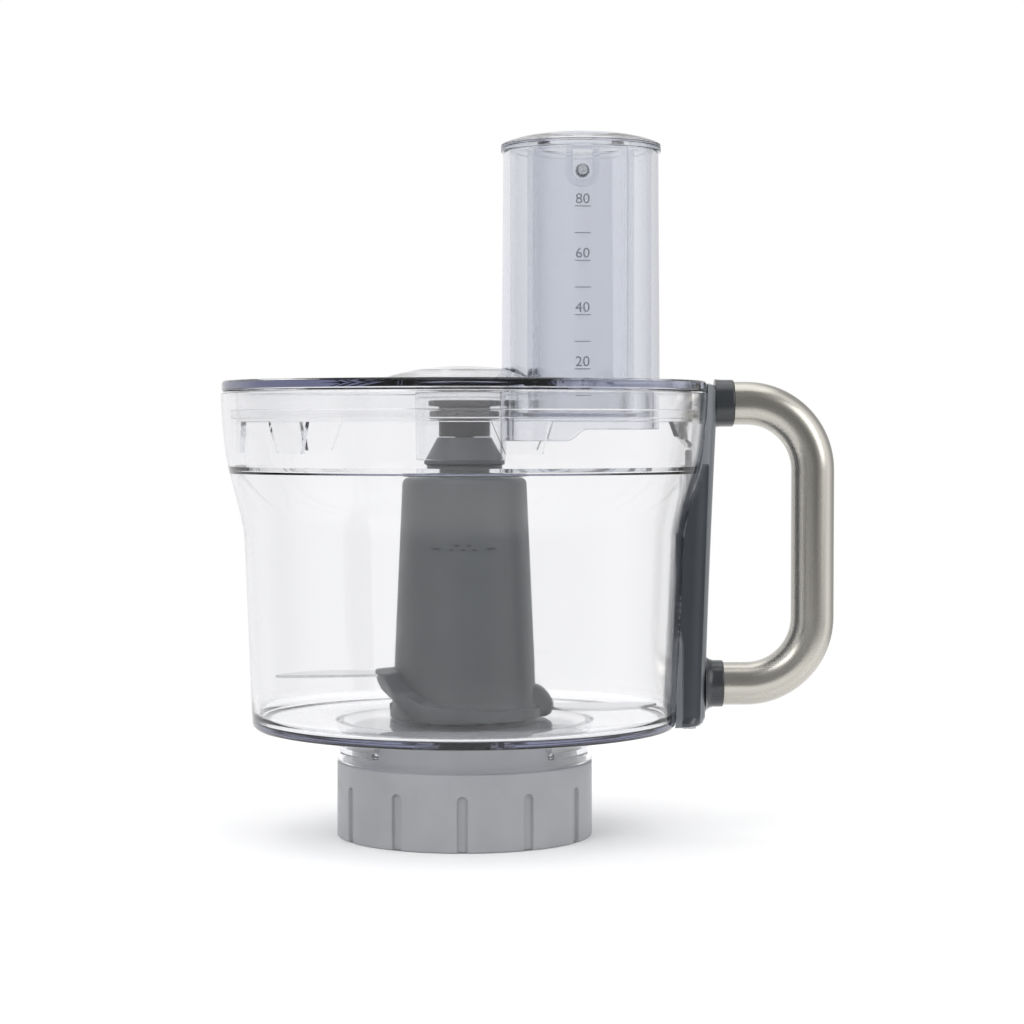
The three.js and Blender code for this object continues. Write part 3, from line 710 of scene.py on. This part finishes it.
def make_handle():
    tube = swept("steel_handle", handle_path(), HANDLE_RADIUS, 64, HANDLE_RADIUS - 1.5)
    placed(tube, HANDLE_STEEL, "brushed_steel", "bowl", "handle_tube")
    make_socket("upper_socket", 111.4, TOP_SOCKET_SEAT, 0.3, HANDLE_TOP_Z, "handle_socket_top")
    make_socket("lower_socket", 104, LOW_SOCKET_SEAT, 3.2, HANDLE_LOW_Z, "handle_socket_bottom")
    make_column()


def make_interlock():
    outline = [
        (0, 83), (1.8, 83), (1.8, 110), (3.3, 110), (3.3, 112), (1.8, 112), (1.8, 175), (1.1, 176), (0, 176),
    ]
    rod = turned("interlock_rod_piece", rounded(outline, 0.3), 32, centre=(ROD_X, 0))
    placed(rod, BLACK, "black_plastic", "interlock", "interlock_rod")


# ---------------------------------------------------------------- lid
def slanted_lug(name, points, angle):
    """A solid standing in the lid's skirt, from (distance round, z) points, at an angle in degrees."""
    middle = (LID_SKIRT_INNER + LID_SKIRT_OUTER) / 2
    sections = []
    for r in (LID_SKIRT_INNER, LID_SKIRT_OUTER):
        ring = []
        for (x0, z0), (x1, z1) in zip(points, points[1:] + points[:1]):
            for i in range(6):
                a = math.radians(angle) + mix(x0, x1, i / 6) / middle
                ring.append(Vector((r * math.cos(a), r * math.sin(a), mix(z0, z1, i / 6))))
        sections.append(ring)
    return lofted(name, sections)


def make_lid():
    dome = bezier((0, 214), (17, 214), (32, 211.3), (44, 206), 14)
    under = [Vector((p.x, p.y - 2.6)) for p in dome]
    outline = [p for p in under if p.x < 19]
    outline += [(19.6, 209.4), (19.6, 171.5), (22.2, 171.5), (22.6, 208.6)]
    outline += [p for p in under if p.x > 23]
    outline += [
        (LID_SKIRT_INNER, 203.4), (LID_SKIRT_INNER, LID_SKIRT_Z), (LID_SKIRT_OUTER, LID_SKIRT_Z),
        (LID_SKIRT_OUTER, LID_LOW), (109.6, LID_LOW), (LID_RADIUS, LID_LOW + 0.6),
        (LID_RADIUS, LID_TOP - 0.8), (109.4, LID_TOP), (102.4, LID_TOP), (101, 206),
    ]
    outline += dome[::-1]
    body = turned("clear_lid", rounded([tuple(p) for p in outline], 0.45), 216, sharp=30)
    root, tip = LID_SKIRT_Z + 0.4, LUG_Z
    lug = [(-14, root), (-8, tip), (8, tip), (11, root)]
    cam = [(8, root), (5, 176.5), (0, 176.5), (-46, 182.2), (-52, root)]
    lugs = [slanted_lug("lug", lug, a) for a in (75, 135, 195, 225, 285)] + [slanted_lug("cam", cam, 0)]
    carved(body, lugs, "UNION", 30)
    mouth = [(0, 160), (TUBE_OUTER + 0.3, 160), (TUBE_OUTER + 0.3, 230), (0, 230)]
    carved(body, [turned("mouth", mouth, 128, centre=(TUBE_X, 0))], sharp=30)
    placed(body, CLEAR, "clear_plastic", "lid", "lid")


def make_feed_tube():
    """The tube's lower end is cut in two levels, lower on the knife's side."""

    def stepped(r, z, angle):
        if z > 200:
            return r, z
        drop = mix(-2.6, 2.6, smoothstep(-7, 2, r * math.cos(angle)))
        return r, z + drop

    outline = [
        (TUBE_INNER, 182.6), (TUBE_OUTER, 182.6), (TUBE_OUTER, 215), (35.3, TUBE_TOP), (TUBE_INNER, TUBE_TOP),
    ]
    tube = turned("clear_feed_tube", rounded(outline, 0.5), 144, stepped, (TUBE_X, 0))
    placed(tube, TUBE_CLEAR, "clear_plastic", "lid", "feed_tube")


def make_seal():
    outline = [(104.6, 190), (106.4, 190), (106.4, 194), (104.6, 194)]
    seal = turned("lid_seal_ring", rounded(outline, 0.6), 160)
    placed(seal, SILICONE, "seal_rubber", "lid_ring", "lid_seal")


# ---------------------------------------------------------------- pushers
def front_plate(name, points, inner, outer):
    """A plate on the tube's front from (x, z) points, bent to the tube's round."""
    sections = []
    for r in (inner, outer):
        sections.append([Vector((r * math.sin(x / r), -r * math.cos(x / r), z)) for x, z in points])
    shifted = [[p + Vector((TUBE_X, 0, 0)) for p in section] for section in sections]
    return lofted(name, shifted)


def low_half_circle(centre_z, radius, steps=16):
    """Points of a circle's lower half, from right to left."""
    angles = [-TURN / 2 * i / steps for i in range(steps + 1)]
    return [(radius * math.cos(a), centre_z + radius * math.sin(a)) for a in angles]


def make_pusher():
    low, top = PUSHER_LOW, TUBE_TOP + 0.3
    outline = [
        (22.3, low), (PUSHER_RADIUS, low), (PUSHER_RADIUS, top), (FLANGE_RADIUS, top),
        (FLANGE_RADIUS, top + 2.5), (30.2, top + 2.5), (30.2, low + 2.4), (24.3, low + 2.4), (24.3, 311),
        (22.3, 311),
    ]
    body = turned("clear_pusher", rounded(outline, 0.45), 144, centre=(TUBE_X, 0))
    tab_half, slot_half = 7.2, 4.3
    tab = [(tab_half, TUBE_TOP - 0.2)] + low_half_circle(DETENT_Z, tab_half) + [(-tab_half, TUBE_TOP - 0.2)]
    carved(body, [front_plate("tab", tab, 26.8, 32.6)], "UNION", 30)
    slot = [(slot_half, TUBE_TOP - 1)] + low_half_circle(DETENT_Z, slot_half) + [(-slot_half, TUBE_TOP - 1)]
    carved(body, [front_plate("eye", slot, 25, 36)], sharp=30)
    placed(body, TUBE_CLEAR, "clear_plastic", "pusher", "pusher_body")


def make_detent():
    """A steel ball in the tab, with a machined dimple ring, and the bowed leaf that presses it out."""
    radius = 3.2
    outline = [(0, -radius)]
    for i in range(1, 24):
        a = -TURN / 4 + TURN / 2 * i / 24
        dimple = 1 - 0.05 * math.exp(-((i - 14) ** 2) / 2)
        outline.append((radius * math.cos(a) * dimple, radius * math.sin(a)))
    outline.append((0, radius))
    ball = turned("detent_ball_piece", [(r, z + DETENT_Z) for r, z in outline], 40, centre=(TUBE_X, -29.1))
    placed(ball, MACHINED, "bright_steel", "pusher", "detent_ball")
    sections = []
    for i in range(25):
        z = DETENT_Z + mix(-2.8, 2.8, i / 24)
        bow = math.sin(math.pi * i / 24)
        half, y = 1.2 + 0.6 * bow, -25.35 - 0.2 * bow
        corner = [(-half, y - 0.2), (half, y - 0.2), (half, y + 0.2), (-half, y + 0.2)]
        sections.append([Vector((TUBE_X + x, yy, z)) for x, yy in corner])
    placed(lofted("detent_leaf", sections), MACHINED, "bright_steel", "pusher", "detent_spring")


def make_small_pusher():
    r, low = SMALL_PUSHER_RADIUS, PUSHER_LOW + 0.6
    outline = [(0, low), (r, low), (r, 313.2), (r - 2, 313.2), (r - 2, low + 2.2), (0, low + 2.2)]
    cup = turned("clear_small_pusher", rounded(outline, 0.5), 120, centre=(TUBE_X, 0))
    placed(cup, TUBE_CLEAR, "clear_plastic", "small_pusher", "small_pusher")
    crown = bezier((CAP_RADIUS, 314.3), (CAP_RADIUS - 4, 317), (19, TOP_Z), (0, TOP_Z), 18)
    hollow = bezier((0, TOP_Z - 1.8), (18, TOP_Z - 1.8), (CAP_RADIUS - 7, 316), (CAP_RADIUS - 3, 314.3), 18)
    under = [p for p in hollow if p.x < 17.5]
    under += [(17.5, 311.4), (19.3, 311.4)] + [p for p in hollow if p.x > 19.6]
    rim = [(CAP_RADIUS - 3, 313.8), (CAP_RADIUS, 313.8)]
    cap_outline = [tuple(p) for p in under + rim + crown]
    cap = turned("clear_pusher_cap", rounded(cap_outline, 0.4), 144, centre=(TUBE_X, 0))
    placed(cap, CLEAR, "clear_plastic", "small_pusher", "pusher_cap")


def number_shape(text, z):
    """A number's flat outline faces, centred at a height on the pusher's front."""
    curve = bpy.data.curves.new("number", "FONT")
    curve.body = text
    curve.size = 6.4
    curve.align_x = "CENTER"
    curve.resolution_u = 3
    holder = bpy.data.objects.new("number", curve)
    bpy.context.scene.collection.objects.link(holder)
    bpy.context.view_layer.update()
    flat = bpy.data.meshes.new_from_object(holder.evaluated_get(bpy.context.evaluated_depsgraph_get()))
    bpy.data.objects.remove(holder)
    bm = bmesh.new()
    bm.from_mesh(flat)
    bmesh.ops.remove_doubles(bm, verts=bm.verts, dist=1e-4)
    points = [(v.co.x, v.co.y + z) for v in bm.verts]
    polygons = [[v.index for v in f.verts] for f in bm.faces]
    bm.free()
    return points, polygons


def bar_shape(half, z, thick=0.42):
    """A level stroke on the pusher's front, in steps that follow its round."""
    xs = [mix(-half, half, i / 8) for i in range(9)]
    points = [(x, z) for x in xs] + [(x, z + thick) for x in xs[::-1]]
    return points, [list(range(len(points)))]


def make_scale():
    """Numbers and ticks printed on the pusher's front."""
    radius = PUSHER_RADIUS + 0.02
    verts, faces = [], []
    shapes = []
    for number, z in (("80", 286), ("60", 262), ("40", 238), ("20", 214)):
        shapes += [bar_shape(3.4, z - 2.2), bar_shape(3.4, z - 14), number_shape(number, z - 0.8)]
    for points, polygons in shapes:
        first, count = len(verts), len(points)
        for raised in (0, 0.12):
            for x, z in points:
                r = radius + raised
                verts.append((TUBE_X + r * math.sin(x / radius), -r * math.cos(x / radius), z))
        edges = {}
        for polygon in polygons:
            faces.append([first + i for i in polygon])
            faces.append([first + count + i for i in reversed(polygon)])
            for i, j in zip(polygon, polygon[1:] + polygon[:1]):
                edges.setdefault(frozenset((i, j)), []).append((i, j))
        for (i, j), *others in edges.values():
            if not others:
                faces.append([first + j, first + i, first + count + i, first + count + j])
    placed(piece_from("pusher_scale", verts, faces), INK, "black_plastic", "pusher")


# ---------------------------------------------------------------- knife
def wing(name, start_angle, track, fullness):
    """A sloping shelf round the hub's foot.

    The track gives (turn, edge height, reach, rise to the wall). A full shelf swells between wall and edge.
    """
    sweep, steps, wall = 168, 64, 31.6
    sections = []
    for i in range(steps + 1):
        turn = -18 + (sweep + 18) * i / steps
        for low, high in zip(track, track[1:]):
            if low[0] <= turn <= high[0]:
                t = smoothstep(low[0], high[0], turn)
                edge, reach, rise = (mix(low[k], high[k], t) for k in (1, 2, 3))
        grow = math.sin(math.pi / 2 * min(1, (turn + 18.5) / 22))
        reach *= grow
        angle = math.radians(start_angle + turn)
        profile = [
            (-3, edge - 14), (0, edge - 14), (0.35 * reach, edge - 12), (0.72 * reach, edge - 8.4),
            (0.9 * reach, edge - 5), (0.97 * reach, edge - 2.4), (reach, edge - 0.7),
            (0.98 * reach, edge - 0.1),
        ]
        for t in (0.92, 0.84, 0.7, 0.5, 0.3, 0.12, 0):
            profile.append((t * reach, edge + rise * (1 - t**fullness)))
        profile.append((-3, edge + rise + 0.5))
        ring = []
        for out, z in profile:
            radius = wall + out
            ring.append(Vector((radius * math.cos(angle), radius * math.sin(angle), max(z, HUB_LOW + 0.2))))
        sections.append(ring)
    return lofted(name, sections, 40)


def make_hub():
    side = [(34.2, 54.4), (34, 57.5), (33.2, 61), (32.5, 64), (32, 78.5), (28.4, 160.5)]
    shoulder = bezier((28.4, 160.5), (28.2, 162.8), (27.2, 163.6), (25.4, 164.1), 6)[1:]
    outline = [
        (0, 158), (24.6, 158), (29.5, HUB_LOW), (33.9, HUB_LOW), *side, *[tuple(p) for p in shoulder],
        (17.2, 166.4), (17.2, 169.3), (18.5, 169.8), (18.5, 170.6), (12.3, 181.7), (4.5, 181.7), (4.5, 172),
        (0, 172),
    ]
    hub = turned("knife_hub_body", rounded(outline, 0.5), 144, sharp=34)
    high_track = (
        (-18, 75.6, 8, 0.6), (0, 75.6, 9.3, 0.8), (24, 74.9, 9.4, 0.8), (47, 66.5, 9.4, 1),
        (66, 62.4, 8.4, 1), (84, 60.4, 6.6, 1.2), (110, 59.4, 5, 1.6), (168, 58.6, 4, 1.6),
    )
    low_track = ((-18, 60.6, 8, 8), (0, 60.2, 9.3, 8.6), (60, 58.8, 6, 5), (168, 58.6, 4, 1.6))
    wings = [wing("wing", 180, high_track, 0.7), wing("wing", 0, low_track, 2.2)]
    sockets = [turned("neck", [(0, 149.5), (10.5, 149.5), (10.5, 158.4), (0, 158.4)], 48)]
    carved(hub, wings + sockets, "UNION", 34)
    carved(hub, [turned("hex", [(0, 149), (7, 149), (7, 161.5), (0, 161.5)], 6)], sharp=34)
    placed(hub, HUB_GREY, "hub_grey", "knife_drive", "knife_hub")


def make_hub_mark():
    """A fill line moulded on the hub's front: two dashes with a plain zigzag between."""
    strokes = [(-15, -10.5, 0), (10.5, 15, 0)]
    strokes += [(-6.5 + 2.6 * i, -6.5 + 2.6 * i + 2.2, 1.6 if i % 2 else -0.4) for i in range(5)]
    verts, faces = [], []
    for x0, x1, lift in strokes:
        first = len(verts)
        for raised in (-0.2, 0.22):
            for x in (x0, x1):
                for z in (131.6 + lift, 132.2 + lift):
                    r = 32 - (z - 78.5) * 3.6 / 82 + raised
                    verts.append((r * math.sin(x / r), -r * math.cos(x / r), z))
        faces += [[first + i for i in quad] for quad in (
            (0, 1, 3, 2), (4, 6, 7, 5), (0, 4, 5, 1), (2, 3, 7, 6), (0, 2, 6, 4), (1, 5, 7, 3))]
    mark = piece_from("hub_fill_mark", verts, faces)
    placed(mark, BLACK, "hub_grey", "knife_drive")


def blade(name, low, half_turn, slope, node):
    """A crescent blade, ground to a bevel along its outer edge and rising or falling to its tip."""
    front = bezier((29.8, 3), (41, -9), (60, -27), (78, -17), 24)
    front += bezier((78, -17), (84, -13), (88, -8), (88, -4), 8)[1:]
    back = bezier((29.8, 12), (44, 14), (60, 3), (88, -4), 32)
    across = (0, 0.035, 0.1, 0.2, 0.6, 1)
    thick = (0.12, 0.5, 1.1, 1.2, 1.2, 1.2)
    sections = []
    for i in range(33):
        f, b = front[i], back[i]
        x_share = (mix(f.x, b.x, 0.5) - 29.8) / 58.2
        lift = slope * x_share
        upper, lower = [], []
        for share, t in zip(across, thick):
            x, y = mix(f.x, b.x, share), mix(f.y, b.y, share)
            upper.append(Vector((x, y, low + t + lift)))
            lower.append(Vector((x, y, low + lift)))
        sections.append(upper + lower[::-1])
    piece = lofted(name, sections[:-1], 20)
    if half_turn:
        turn = Matrix.Translation(AXIS) @ Matrix.Rotation(math.pi, 4, "Z") @ Matrix.Translation(-AXIS)
        piece.data.transform(turn)
    placed(piece, BLADE_STEEL, "bright_steel", "knife_drive", node)


def make_cap():
    outline = [
        (0, 172.6), (4.2, 172.6), (4.2, 182), (11.7, 182), (11.7, 189.6), (16, 190), (16, 193.5), (11.7, 194),
        (11.7, 195.6), (16.5, 196), (16.5, 198), (15.8, 198.5), (0, 198.5),
    ]

    def knurled(r, z, angle):
        return (r - 0.35 * (0.5 + 0.5 * math.cos(24 * angle)), z) if r > 15 else (r, z)

    cap = turned("knife_finger_grip", rounded(outline, 0.5), 192, knurled)
    placed(cap, BLACK, "black_plastic", "knife_drive", "knife_cap")


# ---------------------------------------------------------------- CAD nodes that stay
def dress_cad_nodes():
    """Inner parts keep their CAD shape and get their real material."""
    finishes = {
        "gear_plastic": GEAR_PLASTIC, "bright_steel": MACHINED, "black_plastic": BLACK, "bronze": BRONZE,
        "seal_rubber": SEAL_RUBBER, "brushed_steel": HANDLE_STEEL, "column_grey": COLUMN_GREY,
        "base_grey": BASE_GREY, "hub_grey": HUB_GREY, "clear_plastic": CLEAR,
    }
    for part in frame["record"]["subparts"]:
        node = frame["nodes"][part["node"]]
        node.data.materials.clear()
        node.data.materials.append(finishes[part["material_slot"]])


# ---------------------------------------------------------------- stage
def make_floor():
    """A pale floor that fades into the surroundings away from the object."""
    outline = [(0, -0.5), (1400, -0.5), (1400, -0.05), (0, -0.05)]
    floor = turned("floor", outline, 96)
    n = Nodes("floor_white")
    n.set(Base_Color=(0.93, 0.93, 0.93, 1), Specular_IOR_Level=0.0)
    n.link(n.spread(n.noise(6, 2), 0.85, 0.95), n.shader.inputs["Roughness"])
    clear_bsdf = n.add("ShaderNodeBsdfTransparent")
    distance = n.add("ShaderNodeVectorMath")
    distance.operation = "LENGTH"
    n.link(n.place, distance.inputs[0])
    fade = n.add("ShaderNodeMapRange")
    for key, value in (("From Min", 0.22), ("From Max", 0.6), ("To Min", 0.0), ("To Max", 1.0)):
        fade.inputs[key].default_value = value
    fade.interpolation_type = "SMOOTHSTEP"
    n.link(distance.outputs["Value"], fade.inputs["Value"])
    facing = n.add("ShaderNodeNewGeometry")
    hidden = n.add("ShaderNodeMath")
    hidden.operation = "MAXIMUM"
    n.link(fade.outputs[0], hidden.inputs[0])
    n.link(facing.outputs["Backfacing"], hidden.inputs[1])
    blend = n.add("ShaderNodeMixShader")
    n.link(hidden.outputs[0], blend.inputs[0])
    n.link(n.shader.outputs[0], blend.inputs[1])
    n.link(clear_bsdf.outputs[0], blend.inputs[2])
    n.link(blend.outputs[0], n.out.inputs["Surface"])
    floor.data.materials.append(n.material)


def make_world():
    """White all round for what is seen, also through plastic, with a studio's bands for reflections."""
    world = bpy.data.worlds.new("studio")
    bpy.context.scene.world = world
    world.use_nodes = True
    tree = world.node_tree
    tree.nodes.clear()

    def add(kind):
        return tree.nodes.new(kind)

    def background(strength):
        node = add("ShaderNodeBackground")
        node.inputs["Color"].default_value = (1, 1, 1, 1)
        node.inputs["Strength"].default_value = strength
        return node

    seen, lit = background(1.0), background(0.92)
    bands = add("ShaderNodeBackground")
    bands.inputs["Strength"].default_value = 1.0
    place = add("ShaderNodeTexCoord")
    split = add("ShaderNodeSeparateXYZ")
    tree.links.new(place.outputs["Generated"], split.inputs[0])
    azimuth = add("ShaderNodeMath")
    azimuth.operation = "ARCTAN2"
    back = add("ShaderNodeMath")
    back.operation = "MULTIPLY"
    back.inputs[1].default_value = -1
    tree.links.new(split.outputs["Y"], back.inputs[0])
    tree.links.new(split.outputs["X"], azimuth.inputs[0])
    tree.links.new(back.outputs[0], azimuth.inputs[1])
    unit = add("ShaderNodeMapRange")
    for key, value in (("From Min", -math.pi), ("From Max", math.pi), ("To Min", 0.0), ("To Max", 1.0)):
        unit.inputs[key].default_value = value
    tree.links.new(azimuth.outputs[0], unit.inputs["Value"])
    ramp = add("ShaderNodeValToRGB")
    ramp.color_ramp.interpolation = "EASE"
    levels = (
        (-180, 1.0), (-130, 0.8), (-106, 0.14), (-58, 0.06), (-36, 0.4), (-14, 0.36), (14, 0.2), (36, 0.4),
        (60, 0.7), (88, 1.25), (125, 0.5), (150, 0.5), (180, 0.9),
    )
    elements = ramp.color_ramp.elements
    while len(elements) < len(levels):
        elements.new(0.5)
    for element, (angle, level) in zip(elements, levels):
        element.position = (angle + 180) / 360
        element.color = (level, level, level * 1.01, 1)
    tree.links.new(unit.outputs[0], ramp.inputs["Fac"])
    tree.links.new(ramp.outputs["Color"], bands.inputs["Color"])
    path = add("ShaderNodeLightPath")
    first, second = add("ShaderNodeMixShader"), add("ShaderNodeMixShader")
    tree.links.new(path.outputs["Is Diffuse Ray"], first.inputs[0])
    tree.links.new(seen.outputs[0], first.inputs[1])
    tree.links.new(lit.outputs[0], first.inputs[2])
    tree.links.new(path.outputs["Is Glossy Ray"], second.inputs[0])
    tree.links.new(first.outputs[0], second.inputs[1])
    tree.links.new(bands.outputs[0], second.inputs[2])
    through = add("ShaderNodeMath")
    through.operation = "MULTIPLY"
    through.inputs[1].default_value = 0.68
    tree.links.new(path.outputs["Is Transmission Ray"], through.inputs[0])
    third = add("ShaderNodeMixShader")
    tree.links.new(through.outputs[0], third.inputs[0])
    tree.links.new(second.outputs[0], third.inputs[1])
    tree.links.new(seen.outputs[0], third.inputs[2])
    out = add("ShaderNodeOutputWorld")
    tree.links.new(third.outputs[0], out.inputs["Surface"])


def softbox(name, place, target, size, power):
    light = bpy.data.lights.new(name, "AREA")
    light.shape = "RECTANGLE"
    light.size, light.size_y = size
    light.energy = power
    lamp = bpy.data.objects.new(name, light)
    lamp.location = Vector(place)
    lamp.rotation_euler = (Vector(target) - Vector(place)).to_track_quat("-Z", "Y").to_euler()
    lamp.visible_camera = False
    lamp.visible_transmission = False
    bpy.context.scene.collection.objects.link(lamp)


def make_lights():
    target = AXIS + Vector((0, 0, 0.13))
    softbox("key", (-0.9, -1.0, 1.1), target, (0.9, 0.9), 7)
    softbox("fill", (1.1, -0.7, 0.7), target, (0.6, 1.0), 4)
    softbox("overhead", (0, 0.2, 1.6), target, (1.4, 1.4), 6)


def make_camera():
    data = bpy.data.cameras.new("camera")
    data.lens = CAMERA_LENS
    data.sensor_width = 36
    data.clip_end = 20
    camera = bpy.data.objects.new("camera", data)
    camera.location = AXIS + Vector(CAMERA) * MM
    camera.rotation_euler = (math.radians(90 - CAMERA_PITCH), 0, 0)
    bpy.context.scene.collection.objects.link(camera)
    bpy.context.scene.camera = camera


def set_up_view():
    scene = bpy.context.scene
    scene.view_settings.view_transform = "Standard"
    scene.view_settings.look = "None"
    cycles = scene.cycles
    cycles.max_bounces = 32
    cycles.transmission_bounces = 32
    cycles.transparent_max_bounces = 32
    cycles.glossy_bounces = 8
    cycles.diffuse_bounces = 4


make_camera()
make_floor()
make_world()
make_lights()
set_up_view()
dress_cad_nodes()
make_base()
make_bowl()
make_handle()
make_interlock()
make_lid()
make_feed_tube()
make_seal()
make_pusher()
make_detent()
make_small_pusher()
make_scale()
make_hub()
make_hub_mark()
blade("low_blade", LOW_BLADE_Z, False, 2.2, "knife_blade_low")
blade("high_blade", HIGH_BLADE_Z + 0.6, True, -2.6, "knife_blade_high")
make_cap()
